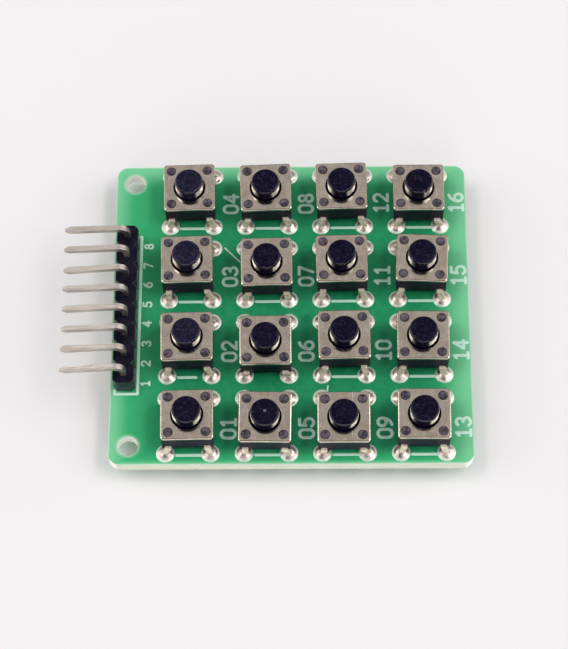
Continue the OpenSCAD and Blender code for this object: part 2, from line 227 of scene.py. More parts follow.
class EffectLibrary:
    """Builds each shared effect the first time that a material asks for it."""

    def __init__(self) -> None:
        """Starts with no group built."""
        self.built: dict[Effect, bpy.types.NodeTree] = {}

    def place(self, nodes: Nodes, effect: Effect, inputs: Mapping[str, Any]) -> Any:
        """Places an effect's group in a material, with the material's own values.

        Args:
            nodes: the material's tree.
            effect: which effect.
            inputs: a constant or a socket for each input that isn't left at its default.

        Returns:
            The outputs of the new node.
        """
        if effect not in self.built:
            makers = {Effect.CLOUD: self.cloud, Effect.GRAIN: self.grain, Effect.FLECK: self.fleck,
                      Effect.ROUNDED: self.rounded, Effect.SCRATCH: self.scratch, Effect.MARGIN: self.margin}
            self.built[effect] = makers[effect]()
        return nodes.add("Group", inputs, node_tree=self.built[effect]).outputs

    @staticmethod
    def start(effect: Effect, inputs: Mapping[str, Any],
              outputs: Mapping[str, str]) -> tuple[Nodes, Any, Any]:
        """Makes an empty group with named sockets.

        Args:
            effect: the effect that it is for.
            inputs: each input's default, a number or a vector.
            outputs: each output's kind, Float or Vector.

        Returns:
            The tree, what it is given and where its results go.
        """
        tree = bpy.data.node_groups.new(effect.value, "ShaderNodeTree")
        for label, value in inputs.items():
            kind = "NodeSocketFloat" if isinstance(value, (int, float)) else "NodeSocketVector"
            socket = tree.interface.new_socket(name=label, in_out="INPUT", socket_type=kind)
            socket.default_value = value
        for label, kind in outputs.items():
            tree.interface.new_socket(name=label, in_out="OUTPUT", socket_type="NodeSocket" + kind)
        nodes = Nodes(tree)
        return nodes, nodes.add("NodeGroupInput").outputs, nodes.add("NodeGroupOutput").inputs

    def noisy(self, effect: Effect, output: str, detail: float,
              roughness: float) -> tuple[Nodes, Socket, Any]:
        """Starts a group with noise in it, which a part of Stretch under 1 draws out along its axis.

        Args:
            effect: the effect that it is for.
            output: the name of its output.
            detail: how many finer layers the noise has.
            roughness: how strong they are.

        Returns:
            The tree, the noise and where the group's result goes.
        """
        inputs = {"Size": 1.0, "Stretch": (1.0, 1.0, 1.0)}
        nodes, given, result = self.start(effect, inputs, {output: "Float"})
        point = nodes.vector("MULTIPLY", {0: nodes.millimetres(), 1: given["Stretch"]})
        scale = nodes.math("DIVIDE", 1.0, given["Size"])
        texture = {"Vector": point, "Scale": scale, "Detail": detail, "Roughness": roughness}
        return nodes, nodes.add("TexNoise", texture).outputs["Fac"], result[output]

    def cloud(self) -> bpy.types.NodeTree:
        """A soft, uneven tone.

        Returns:
            A group whose Size is that of the patches, in millimetres. Its Mask runs from 0 to 1.
        """
        least, most = 0.3, 0.7  # nearly all of the noise lies between these
        nodes, tone, result = self.noisy(Effect.CLOUD, "Mask", detail=3.0, roughness=0.6)
        nodes.tree.links.new(nodes.remap(tone, least, most), result)
        return nodes.tree

    def grain(self) -> bpy.types.NodeTree:
        """A fine roughness.

        Returns:
            A group whose Size is that of one grain, in millimetres. Its Height feeds a bump.
        """
        nodes, fine, result = self.noisy(Effect.GRAIN, "Height", detail=2.0, roughness=0.5)
        nodes.tree.links.new(fine, result)
        return nodes.tree

    def fleck(self) -> bpy.types.NodeTree:
        """Scattered small spots of uneven shape.

        Returns:
            A group whose Size is that of a spot's cell, in millimetres. Share is how many cells have one.
        """
        radius, pull, finer = 0.35, 0.8, 2.0  # a spot, how far it is pulled out of shape, and how finely
        nodes, given, result = self.start(Effect.FLECK, {"Size": 0.3, "Share": 0.1}, {"Mask": "Float"})
        scale = nodes.math("DIVIDE", 1.0, given["Size"])
        point = nodes.millimetres()
        warp = nodes.add("TexNoise", {"Vector": point, "Scale": nodes.math("MULTIPLY", scale, finer)})
        reach = nodes.math("MULTIPLY", given["Size"], pull)
        bent = nodes.vector("SCALE", {0: warp.outputs["Color"], "Scale": reach})
        cells = nodes.add("TexVoronoi", {"Vector": nodes.vector("ADD", {0: point, 1: bent}), "Scale": scale})
        gap = nodes.math("DIVIDE", cells.outputs["Distance"], radius)
        near = nodes.math("SUBTRACT", 1.0, gap, clamp=True)
        chosen = nodes.math("LESS_THAN", cells.outputs["Color"], given["Share"])
        nodes.tree.links.new(nodes.math("MULTIPLY", near, chosen), result["Mask"])
        return nodes.tree

    def rounded(self) -> bpy.types.NodeTree:
        """A small radius on sharp edges.

        Returns:
            A group whose Radius is in metres. Its Mask is 1 on an edge and 0 on a flat.
        """
        least, most = 0.01, 0.2  # 1 less the cosine of the turn, where an edge begins and where it is full
        outputs = {"Normal": "Vector", "Mask": "Float"}
        nodes, given, result = self.start(Effect.ROUNDED, {"Radius": 0.1 * MM}, outputs)
        soft = nodes.add("Bevel", {"Radius": given["Radius"]}, samples=6).outputs["Normal"]
        flat = nodes.add("NewGeometry").outputs["Normal"]
        turn = nodes.math("SUBTRACT", 1.0, nodes.vector("DOT_PRODUCT", {0: soft, 1: flat}, "Value"))
        nodes.tree.links.new(soft, result["Normal"])
        nodes.tree.links.new(nodes.remap(turn, least, most), result["Mask"])
        return nodes.tree

    def scratch(self) -> bpy.types.NodeTree:
        """A straight scratch between two points, seen along Z.

        Returns:
            A group whose lengths are in millimetres. Its Mask is 1 in the scratch.
        """
        full, end = 0.3, 0.6  # how far it is full and where it ends, in widths off its middle line
        inputs = {"Start": (0.0, 0.0, 0.0), "End": (1.0, 0.0, 0.0), "Width": 0.1}
        nodes, given, result = self.start(Effect.SCRATCH, inputs, {"Mask": "Float"})
        flat = nodes.vector("MULTIPLY", {0: nodes.millimetres(), 1: (1.0, 1.0, 0.0)})
        reach = nodes.vector("SUBTRACT", {0: flat, 1: given["Start"]})
        run = nodes.vector("SUBTRACT", {0: given["End"], 1: given["Start"]})
        along = nodes.math("DIVIDE", nodes.vector("DOT_PRODUCT", {0: reach, 1: run}, "Value"),
                           nodes.vector("DOT_PRODUCT", {0: run, 1: run}, "Value"), clamp=True)
        nearest = nodes.vector("SCALE", {0: run, "Scale": along})
        gap = nodes.vector("LENGTH", {0: nodes.vector("SUBTRACT", {0: reach, 1: nearest})}, "Value")
        share = nodes.math("DIVIDE", gap, given["Width"])
        nodes.tree.links.new(nodes.remap(share, full, end, 1.0, 0.0), result["Mask"])
        return nodes.tree

    def margin(self) -> bpy.types.NodeTree:
        """How near a point is to a board's outline.

        Returns:
            A group whose Mask goes from 0 inside to 1 on the outline, with a depth for each side.
        """
        corner = (0.0, 0.0, 0.0)
        ends = {"Low": corner, "High": corner, "Low Depth": corner, "High Depth": corner}
        nodes, given, result = self.start(Effect.MARGIN, ends, {"Mask": "Float"})
        point = nodes.millimetres()
        reaches = (nodes.vector("SUBTRACT", {0: point, 1: given["Low"]}),
                   nodes.vector("SUBTRACT", {0: given["High"], 1: point}))
        shares = [nodes.vector("DIVIDE", {0: reach, 1: given[depth]})
                  for reach, depth in zip(reaches, ("Low Depth", "High Depth"))]
        least = nodes.parts(nodes.vector("MINIMUM", {0: shares[0], 1: shares[1]}))
        nearest = nodes.math("MINIMUM", least["X"], least["Y"])
        nodes.tree.links.new(nodes.remap(nearest, 0.0, 1.0, 1.0, 0.0), result["Mask"])
        return nodes.tree


EFFECTS = EffectLibrary()


@dataclass(frozen=True)
class Mark:
    """A straight mark on a surface, seen along Z, in millimetres. A short and wide one is a spot."""

    start: Pair
    run: Pair
    width: float
    strength: float = 1.0

    def mask(self, nodes: Nodes) -> Socket:
        """The mark on a material.

        Args:
            nodes: the material's tree.

        Returns:
            Its mask, as strong as the mark.
        """
        (x, y), (dx, dy) = self.start, self.run
        ends = {"Start": (x, y, 0.0), "End": (x + dx, y + dy, 0.0), "Width": self.width}
        return nodes.math("MULTIPLY", EFFECTS.place(nodes, Effect.SCRATCH, ends)["Mask"], self.strength)


@dataclass(frozen=True)
class Finish:
    """One finish. A subclass says how its colour, roughness and relief change over the surface."""

    name: str
    color: Color
    roughness: float
    metallic: float = 0.0
    specular: float = 0.5
    coat_roughness: float = 0.1
    edge_radius: float = 0.0

    def build(self) -> bpy.types.Material:
        """Makes the material.

        Returns:
            A new material with this finish.
        """
        material = bpy.data.materials.new(self.name)
        material.use_nodes = True
        nodes = Nodes(material.node_tree)
        nodes.tree.nodes.clear()
        shader = nodes.add("BsdfPrincipled", {
            "Base Color": self.color, "Roughness": self.roughness, "Metallic": self.metallic,
            "Specular IOR Level": self.specular, "Coat Roughness": self.coat_roughness})
        nodes.add("OutputMaterial", {"Surface": shader.outputs["BSDF"]})
        self.detail(nodes, shader)
        return material

    def detail(self, nodes: Nodes, shader: bpy.types.Node) -> None:
        """Adds what changes over the surface."""
        raise NotImplementedError

    def wear(self, nodes: Nodes, shader: bpy.types.Node, tone: Socket, rough: Socket) -> Look:
        """Adds use, making and painted light to the colour and the roughness. A plain finish has none."""
        return tone, rough

    @staticmethod
    def join(nodes: Nodes, shader: bpy.types.Node, **sockets: Socket) -> None:
        """Joins sockets to the shader's inputs, named in lower case with underscores."""
        for name, socket in sockets.items():
            nodes.tree.links.new(socket, shader.inputs[name.replace("_", " ").title()])

    @staticmethod
    def effect(nodes: Nodes, effect: Effect, output: str = "Mask", **inputs: Any) -> Socket:
        """Places a shared effect and returns one of its outputs."""
        values = {name.replace("_", " ").title(): value for name, value in inputs.items()}
        return EFFECTS.place(nodes, effect, values)[output]

    @staticmethod
    def marked(nodes: Nodes, tone: Socket, marks: Iterable[Mark], color: Color, within: Any = 1.0) -> Socket:
        """Lays marks over a tone.

        Args:
            nodes: the material's tree.
            tone: the colour so far.
            marks: the marks, in order.
            color: their colour.
            within: a mask of where they may be.

        Returns:
            The colour with the marks.
        """
        for mark in marks:
            tone = nodes.tint(tone, mark.mask(nodes), within, color)
        return tone

    def uneven(self, nodes: Nodes, mask: Socket, shares: Pair) -> Socket:
        """The roughness, from the first share of the finish's own to the second as a mask rises."""
        return nodes.remap(mask, 0.0, 1.0, self.roughness * shares[0], self.roughness * shares[1])

    def relief(self, nodes: Nodes, height: Socket, depth: float) -> Socket:
        """A bump on the rounded edges.

        Args:
            nodes: the material's tree.
            height: the height, from 0 to 1.
            depth: what a height of 1 stands for, in metres.

        Returns:
            The surface normal.
        """
        inputs = {"Height": height, "Distance": depth, "Strength": 1.0}
        if self.edge_radius:
            inputs["Normal"] = self.effect(nodes, Effect.ROUNDED, "Normal", radius=self.edge_radius)
        return nodes.add("Bump", inputs).outputs["Normal"]


@dataclass(frozen=True)
class MouldedPlastic(Finish):
    """Black moulded plastic: spark-eroded grain, faint cloudiness, and pale flecks of dust and handling."""

    worn: Color = srgb(58, 56, 74)
    cloud_size: float = 0.9
    cloud_share: float = 0.25
    grain_size: float = 0.12
    grain_depth: float = 0.004 * MM
    fleck_size: float = 0.28
    fleck_share: float = 0.12
    fleck_strength: float = 0.5
    rough_range: Pair = (0.85, 1.2)

    def detail(self, nodes: Nodes, shader: bpy.types.Node) -> None:
        """Clouds, flecks and roughens the black.

        Args:
            nodes: the material's tree.
            shader: its shader.
        """
        cloud = self.effect(nodes, Effect.CLOUD, size=self.cloud_size)
        fleck = self.effect(nodes, Effect.FLECK, size=self.fleck_size, share=self.fleck_share)
        fine = self.effect(nodes, Effect.GRAIN, "Height", size=self.grain_size)
        tone = nodes.tint(self.color, cloud, self.cloud_share, self.worn)
        tone = nodes.tint(tone, fleck, self.fleck_strength, self.worn)
        tone, rough = self.wear(nodes, shader, tone, self.uneven(nodes, cloud, self.rough_range))
        self.join(nodes, shader, base_color=tone, roughness=rough,
                  normal=self.relief(nodes, fine, self.grain_depth))


@dataclass(frozen=True)
class StakedPlastic(MouldedPlastic):
    """The switch bases' plastic, pressed smooth and pale where its posts are staked over the cover.

    Above smooth_above, nothing of a base shows but its posts.
    """

    smooth_above: float = 5.1
    smooth_step: float = 0.05
    smooth_roughness: float = 0.16
    pressed: Color = srgb(100, 90, 98)
    smear_size: float = 0.7
    smear_range: Pair = (0.1, 0.8)
    smear_least: float = 0.3
    # the heads' rims stay dark: painted shade, for the shadow in the gap round each head
    ring_width: float = 0.2 * MM
    ring_share: float = 0.1

    def wear(self, nodes: Nodes, shader: bpy.types.Node, tone: Socket, rough: Socket) -> Look:
        """Smears the flat heads of the posts, and paints shade on their rims by keeping them dark.

        Args:
            nodes: the material's tree.
            shader: its shader.
            tone: the colour so far.
            rough: the roughness so far.

        Returns:
            The colour and the roughness with the pressed heads.
        """
        pressed = nodes.remap(nodes.height(), self.smooth_above, self.smooth_above + self.smooth_step)
        smear = self.effect(nodes, Effect.CLOUD, size=self.smear_size)
        smear = nodes.remap(smear, *self.smear_range, self.smear_least, 1.0)
        # painted shade: the pale smear fades out at each head's rim
        ring = self.effect(nodes, Effect.ROUNDED, radius=self.ring_width)
        smear = nodes.math("MULTIPLY", nodes.math("MULTIPLY", pressed, smear),
                           nodes.remap(ring, 0.0, 1.0, 1.0, self.ring_share))
        return nodes.blend(smear, tone, self.pressed), nodes.mix(pressed, rough, self.smooth_roughness)


@dataclass(frozen=True)
class HeaderPlastic(MouldedPlastic):
    """The header's plastic, glossy down its sides, with a painted highlight along its edges."""

    side_gloss: float = 0.4
    edge_share: float = 0.6
    edge_tone: Color = srgb(116, 108, 124)

    def wear(self, nodes: Nodes, shader: bpy.types.Node, tone: Socket, rough: Socket) -> Look:
        """Paints a highlight along the edges and coats the sides.

        Args:
            nodes: the material's tree.
            shader: its shader.
            tone: the colour so far.
            rough: the roughness so far.

        Returns:
            The colour with the painted edge highlight, and the roughness.
        """
        # painted highlight: a pale tone along the rounded edges, for the light line they catch
        edge = self.effect(nodes, Effect.ROUNDED, radius=self.edge_radius)
        self.join(nodes, shader, coat_weight=nodes.remap(nodes.facing(), *STEEP, self.side_gloss, 0.0))
        return nodes.tint(tone, edge, self.edge_share, self.edge_tone), rough


@dataclass(frozen=True)
class ButtonPlastic(MouldedPlastic):
    """The plungers' plastic: matt and speckled on top, polished by the mould's bore down its side."""

    fleck: Color = srgb(92, 88, 114)
    side_roughness: float = 0.12
    side_gloss: float = 1.0
    top_range: Pair = (0.8, 0.97)
    dust: float = 0.17
    dust_cloud: float = 0.6
    speck_size: float = 0.8
    speck_range: Pair = (0.6, 1.0)

    def detail(self, nodes: Nodes, shader: bpy.types.Node) -> None:
        """Keeps the grain, the dust and the flecks to the top face.

        Args:
            nodes: the material's tree.
            shader: its shader.
        """
        top = nodes.remap(nodes.facing(), *self.top_range)
        cloud = self.effect(nodes, Effect.CLOUD, size=self.cloud_size)
        specks = self.effect(nodes, Effect.CLOUD, size=self.fleck_size * self.speck_size)
        fleck = self.effect(nodes, Effect.FLECK, size=self.fleck_size, share=self.fleck_share)
        fine = self.effect(nodes, Effect.GRAIN, "Height", size=self.grain_size)
        tone = nodes.tint(self.color, cloud, self.dust * self.dust_cloud, self.worn)
        tone = nodes.blend(nodes.remap(specks, *self.speck_range, 0.0, self.dust), tone, self.fleck)
        tone = nodes.blend(fleck, tone, self.fleck)
        self.join(nodes, shader, base_color=nodes.blend(top, self.color, tone),
                  roughness=nodes.remap(top, 0.0, 1.0, self.side_roughness, self.roughness),
                  coat_weight=nodes.remap(top, 0.0, 1.0, self.side_gloss, 0.0),
                  normal=self.relief(nodes, nodes.math("MULTIPLY", fine, top), self.grain_depth))


@dataclass(frozen=True)
class SheetMetal(Finish):
    """Satin sheet metal: a mottled tone, faint rolling lines along Y, and pale rounded edges, partly
    burnished and partly painted highlight.
    """

    tint: Color = srgb(190, 174, 158)
    dull: Color = srgb(142, 130, 118)
    edge: Color = srgb(252, 246, 240)
    cloud_size: float = 1.3
    cloud_share: float = 0.7
    line_size: float = 0.3
    line_run: Triple = (1.0, 0.25, 1.0)
    line_share: float = 0.35
    grain_size: float = 0.1
    grain_run: Triple = (1.0, 0.5, 1.0)
    grain_depth: float = 0.0005 * MM
    speck_size: float = 0.14
    speck_share: float = 0.35
    rough_range: Pair = (0.85, 1.25)
    scratches: tuple[Mark, ...] = ()

    def detail(self, nodes: Nodes, shader: bpy.types.Node) -> None:
        """Mottles the sheet, lines it, paints its edges pale, partly as a highlight, and brightens its
        scratches.

        Args:
            nodes: the material's tree.
            shader: its shader.
        """
        cloud = self.effect(nodes, Effect.CLOUD, size=self.cloud_size)
        lines = self.effect(nodes, Effect.CLOUD, size=self.line_size, stretch=self.line_run)
        specks = self.effect(nodes, Effect.CLOUD, size=self.speck_size)
        fine = self.effect(nodes, Effect.GRAIN, "Height", size=self.grain_size, stretch=self.grain_run)
        tone = nodes.tint(self.color, cloud, self.cloud_share, self.tint)
        tone = nodes.tint(tone, lines, self.line_share, self.tint)
        tone = nodes.tint(tone, specks, self.speck_share, self.dull)
        # pale edges: partly burnished steel, partly a painted highlight
        tone = nodes.blend(self.effect(nodes, Effect.ROUNDED, radius=self.edge_radius), tone, self.edge)
        tone = self.marked(nodes, tone, self.scratches, self.edge)
        self.join(nodes, shader, base_color=tone, roughness=self.uneven(nodes, lines, self.rough_range),
                  normal=self.relief(nodes, fine, self.grain_depth))


@dataclass(frozen=True)
class TinnedMetal(Finish):
    """Tin over brass: dull, with the brass showing warm in patches, or drawn out along a pin."""

    warm: Color = srgb(176, 152, 112)
    warmth: float = 0.6
    patch: float = 0.5
    drawn: Triple = (1.0, 1.0, 1.0)
    ripple_size: float = 0.25
    ripple_depth: float = 0.01 * MM
    rough_range: Pair = (0.7, 1.3)

    def detail(self, nodes: Nodes, shader: bpy.types.Node) -> None:
        """Lets the warm tone through and ripples the surface.

        Args:
            nodes: the material's tree.
            shader: its shader.
        """
        cloud = self.effect(nodes, Effect.CLOUD, size=self.patch, stretch=self.drawn)
        ripple = self.effect(nodes, Effect.GRAIN, "Height", size=self.ripple_size)
        tone = nodes.tint(self.color, cloud, self.warmth, self.warm)
        tone, rough = self.wear(nodes, shader, tone, self.uneven(nodes, cloud, self.rough_range))
        self.join(nodes, shader, base_color=tone, roughness=rough,
                  normal=self.relief(nodes, ripple, self.ripple_depth))


@dataclass(frozen=True)
class Solder(TinnedMetal):
    """Fresh solder: bright, softly rippled, with a pale skin of flux at the land's rim."""

    skin: Color = srgb(226, 240, 222)
    skin_depth: float = 0.13
    skin_full: float = 0.6
    skin_metallic: float = 0.4
    board: Pair = (0.0, 1.6)

    def wear(self, nodes: Nodes, shader: bpy.types.Node, tone: Socket, rough: Socket) -> Look:
        """Whitens the solder next to the board's two faces.

        Args:
            nodes: the material's tree.
            shader: its shader.
            tone: the colour so far.
            rough: the roughness so far.

        Returns:
            The colour with the skin, and the roughness.
        """
        low, high = self.board
        from_middle = nodes.math("ABSOLUTE", nodes.math("SUBTRACT", nodes.height(), (low + high) / 2))
        off = nodes.math("SUBTRACT", from_middle, (high - low) / 2)
        skin = nodes.remap(off, self.skin_depth * self.skin_full, self.skin_depth, 1.0, 0.0)
        self.join(nodes, shader, metallic=nodes.remap(skin, 0.0, 1.0, 1.0, self.skin_metallic))
        return nodes.blend(skin, tone, self.skin), rough


@dataclass(frozen=True)
class SolderMask(Finish):
    """Green solder mask over woven laminate, painted paler near the outline, and bare on its cut sides.

    Towards the outline it turns light over the margin's depths, pale over the rim's and then bare. The light
    and
    the pale there are painted light: the glow of the board's edges and the lesser shade of the switches. A
    painted pool of light lies over it in places, and it is scratched or cleared down to a pale scuff, and
    smudged deep.
    """

    deep: Color = srgb(18, 118, 81)
    light: Color = srgb(66, 194, 126)
    pale: Color = srgb(136, 216, 166)
    laminate: Color = srgb(228, 238, 218)
    fibre: Color = srgb(214, 215, 197)
    drilled: Color = srgb(250, 252, 244)
    scuff: Color = srgb(220, 240, 218)
    low: Triple = (0.0, 0.0, 0.0)
    high: Triple = (1.0, 1.0, 1.0)
    # margin and rim paint light: paler towards the outline, for the edges' glow and the switches' lesser
    # shade there
    margin: Depths = ((8.5, 2.4, 1.0), (6.5, 6.0, 1.0))
    rim: Depths = ((2.4, 0.6, 1.0), (4.0, 3.0, 1.0))
    outline: Depths = ((0.2, 0.2, 1.0), (0.2, 0.2, 1.0))
    cloud_size: float = 6.0
    cloud_share: float = 0.35
    mottle_size: float = 0.8
    mottle_share: float = 0.1
    weave_pitch: float = 0.45
    weave_share: float = 0.05
    weave_depth: float = 0.0015 * MM
    margin_share: float = 0.85
    rim_share: float = 0.8
    outline_share: float = 0.5
    layer_size: float = 0.5
    layer_run: Triple = (0.4, 0.4, 5.0)
    side_roughness: float = 0.7
    # marks of painted light, laid on in the light green
    bleached: tuple[Mark, ...] = ()
    scratches: tuple[Mark, ...] = ()
    smudges: tuple[Mark, ...] = ()
    cleared: tuple[Mark, ...] = ()

    def detail(self, nodes: Nodes, shader: bpy.types.Node) -> None:
        """Puts the mask on the two faces and the laminate on the sides.

        Args:
            nodes: the material's tree.
            shader: its shader.
        """
        facing = nodes.facing()
        side = nodes.remap(nodes.math("ABSOLUTE", facing), *STEEP, 1.0, 0.0)
        upward = nodes.remap(facing, *STEEP)
        cloud = self.effect(nodes, Effect.CLOUD, size=self.cloud_size)
        mottle = self.effect(nodes, Effect.CLOUD, size=self.mottle_size)
        margin, rim, outline = (
            self.effect(nodes, Effect.MARGIN, low=self.low, high=self.high, low_depth=depths[0],
                        high_depth=depths[1]) for depths in (self.margin, self.rim, self.outline))
        weave = nodes.math("MULTIPLY", self.weave(nodes), mottle)
        tone = nodes.tint(self.color, cloud, self.cloud_share, self.deep)
        tone = nodes.tint(tone, mottle, self.mottle_share, self.light)
        tone = nodes.tint(tone, weave, self.weave_share, self.pale)
        # painted light: paler towards the outline, a painted pool of light, then paler still at the rim
        tone = nodes.tint(tone, margin, self.margin_share, self.light)
        tone = self.marked(nodes, tone, self.bleached, self.light)
        tone = nodes.tint(tone, rim, self.rim_share, self.pale)
        tone = self.marked(nodes, tone, self.scratches, self.scuff, upward)
        tone = self.marked(nodes, tone, self.smudges, self.deep, upward)
        tone = self.marked(nodes, tone, self.cleared, self.scuff)
        tone = nodes.tint(tone, outline, self.outline_share, self.drilled)
        layers = self.effect(nodes, Effect.CLOUD, size=self.layer_size, stretch=self.layer_run)
        cut = nodes.blend(outline, self.drilled, nodes.blend(layers, self.laminate, self.fibre))
        self.join(nodes, shader, base_color=nodes.blend(side, tone, cut),
                  roughness=nodes.remap(side, 0.0, 1.0, self.roughness, self.side_roughness),
                  normal=self.relief(nodes, weave, self.weave_depth))

    def weave(self, nodes: Nodes) -> Socket:
        """The glass cloth that shows faintly through the mask.

        Args:
            nodes: the material's tree.

        Returns:
            Its height, from 0 to 1.
        """
        point = nodes.parts(nodes.millimetres())
        turns = 2 * math.pi / self.weave_pitch
        waves = [nodes.math("SINE", nodes.math("MULTIPLY", point[axis], turns)) for axis in ("X", "Y")]
        return nodes.math("MULTIPLY_ADD", nodes.math("MULTIPLY", *waves), 0.5, 0.5)


@dataclass(frozen=True)
class Ink(Finish):
    """White printing ink, thin enough in places for the green to show."""

    under: Color = srgb(196, 246, 214)
    patch: float = 0.35
    thin_share: float = 0.2
    grain_size: float = 0.05
    grain_depth: float = 0.001 * MM

    def detail(self, nodes: Nodes, shader: bpy.types.Node) -> None:
        """Thins the ink in small patches.

        Args:
            nodes: the material's tree.
            shader: its shader.
        """
        cloud = self.effect(nodes, Effect.CLOUD, size=self.patch)
        fine = self.effect(nodes, Effect.GRAIN, "Height", size=self.grain_size)
        self.join(nodes, shader, base_color=nodes.tint(self.color, cloud, self.thin_share, self.under),
                  normal=self.relief(nodes, fine, self.grain_depth))


def new_piece(name: str, bm: bmesh.types.BMesh, finish: bpy.types.Material,
              body: str = BODY, smooth: bool = True) -> bpy.types.Object:
    """Turns a finished bmesh into an object that rides on a body.

    Args:
        name: the piece's name.
        bm: its shape, in place, which this frees.
        finish: its material.
        body: the body that it moves with.
        smooth: whether its faces are shaded smooth.

    Returns:
        The new object, at the origin.
    """
    for face in bm.faces:
        face.smooth = smooth
    mesh = bpy.data.meshes.new(name)
    bm.to_mesh(mesh)
    bm.free()
    mesh.materials.append(finish)
    piece = bpy.data.objects.new(name, mesh)
    bpy.context.scene.collection.objects.link(piece)
    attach(piece, body)
    log.info("%s: %d faces", name, len(mesh.polygons))
    return piece


def copy_into(part: bmesh.types.BMesh, bm: bmesh.types.BMesh) -> list[bmesh.types.BMVert]:
    """Adds one bmesh to another, and frees it.

    Args:
        part: the mesh to add.
        bm: the mesh that takes it.

    Returns:
        The vertices that were added to bm.
    """
    count = len(bm.verts)
    mesh = bpy.data.meshes.new("part")
    part.to_mesh(mesh)
    part.free()
    bm.from_mesh(mesh)
    bpy.data.meshes.remove(mesh)
    bm.verts.ensure_lookup_table()
    return bm.verts[count:]


def lathe(bm: bmesh.types.BMesh, profile: Sequence[Pair], centre: Vector,
          steps: int) -> list[bmesh.types.BMVert]:
    """Turns a profile about an upright axis into a closed shape.

    Args:
        bm: the mesh that it is added to.
        profile: radius and height of each point, from the axis at one end to the axis at the other.
        centre: the foot of the axis.
        steps: how many faces go round.

    Returns:
        The new vertices.
    """
    part = bmesh.new()
    line = [part.verts.new((radius, 0, height)) for radius, height in profile]
    edges = [part.edges.new(pair) for pair in zip(line, line[1:])]
    bmesh.ops.spin(part, geom=line + edges, cent=(0, 0, 0), axis=UP, angle=2 * math.pi, steps=steps,
                   use_merge=True)
    bmesh.ops.remove_doubles(part, verts=part.verts, dist=MERGE)
    bmesh.ops.recalc_face_normals(part, faces=part.faces)
    bmesh.ops.translate(part, verts=part.verts, vec=centre)
    return copy_into(part, bm)


def bow(x: float, y: float, rx: float, ry: float, start: float, end: float, steps: int = 10) -> Points:
    """Points on an elliptical arc, in degrees anticlockwise from +X."""
    angles = [math.radians(start + (end - start) * step / steps) for step in range(steps + 1)]
    return [(x + rx * math.cos(angle), y + ry * math.sin(angle)) for angle in angles]


def pin_y(pin: int) -> float:
    """Where a pin stands along Y, counted from 0 at the front."""
    return (pin - (PINS - 1) / 2) * PIN_PITCH


CELL_W = 0.6  # a figure's width, where its height is 1
CELL_GAP = 0.26
# The strokes of each figure, from the left end of its baseline
FIGURES: dict[str, list[Points]] = {
    "0": [bow(0.3, 0.7, 0.3, 0.3, 0, 180) + bow(0.3, 0.3, 0.3, 0.3, 180, 360) + [(0.6, 0.7)]],
    "1": [[(0.12, 0.82), (0.32, 1.0), (0.32, 0.0)], [(0.1, 0.0), (0.54, 0.0)]],
    "2": [bow(0.3, 0.72, 0.29, 0.28, 165, -35) + [(0.02, 0.0), (0.6, 0.0)]],
    "3": [bow(0.28, 0.75, 0.27, 0.25, 150, -90) + bow(0.27, 0.26, 0.32, 0.26, 80, -150)],
    "4": [[(0.45, 0.0), (0.45, 1.0), (0.0, 0.3), (0.62, 0.3)]],
    "5": [[(0.54, 1.0), (0.1, 1.0), (0.05, 0.55)] + bow(0.27, 0.32, 0.32, 0.32, 120, -150)],
    "6": [bow(0.3, 0.3, 0.3, 0.3, 0, 360), bow(0.62, 0.3, 0.62, 0.7, 180, 100)],
    "7": [[(0.0, 1.0), (0.6, 1.0), (0.2, 0.0)]],
    "8": [bow(0.3, 0.76, 0.24, 0.24, 0, 360), bow(0.3, 0.26, 0.3, 0.26, 0, 360)],
    "9": [bow(0.3, 0.7, 0.3, 0.3, 0, 360), bow(-0.02, 0.7, 0.62, 0.7, 0, -80)],
}


@dataclass
class Grid:
    """Where the keys and their lands are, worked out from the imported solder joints."""

    columns: int = 4
    rows: int = 4
    land_x: float = 5.2 * MM
    land_y: float = 6.8 * MM
    pad_d: float = 2.2 * MM

    def __post_init__(self) -> None:
        """Reads the pitches and the middle of the first key off the frame."""
        low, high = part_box("switch_solder")
        span = high - low
        self.pitch_x = (span.x - self.pad_d - self.land_x) / (self.columns - 1)
        self.pitch_y = (span.y - self.pad_d - self.land_y) / (self.rows - 1)
        half_x, half_y = (self.pad_d + self.land_x) / 2, (self.pad_d + self.land_y) / 2
        self.first = Vector((low.x + half_x, low.y + half_y, 0))

    def keys(self) -> list[int]:
        """The keys' numbers, from 1, up each column from the front."""
        return list(range(1, self.columns * self.rows + 1))

    def place(self, key: int) -> Vector:
        """The middle of a key's four lands, on the board's underside."""
        column, row = divmod(key - 1, self.rows)
        return self.first + Vector((column * self.pitch_x, row * self.pitch_y, 0))

    def lands(self, key: int) -> list[Vector]:
        """The middles of a key's four lands: the front ones and then the back ones, each left and right."""
        half = Vector((self.land_x / 2, self.land_y / 2, 0))
        return [self.place(key) + Vector((sx * half.x, sy * half.y, 0)) for sy in (-1, 1) for sx in (-1, 1)]


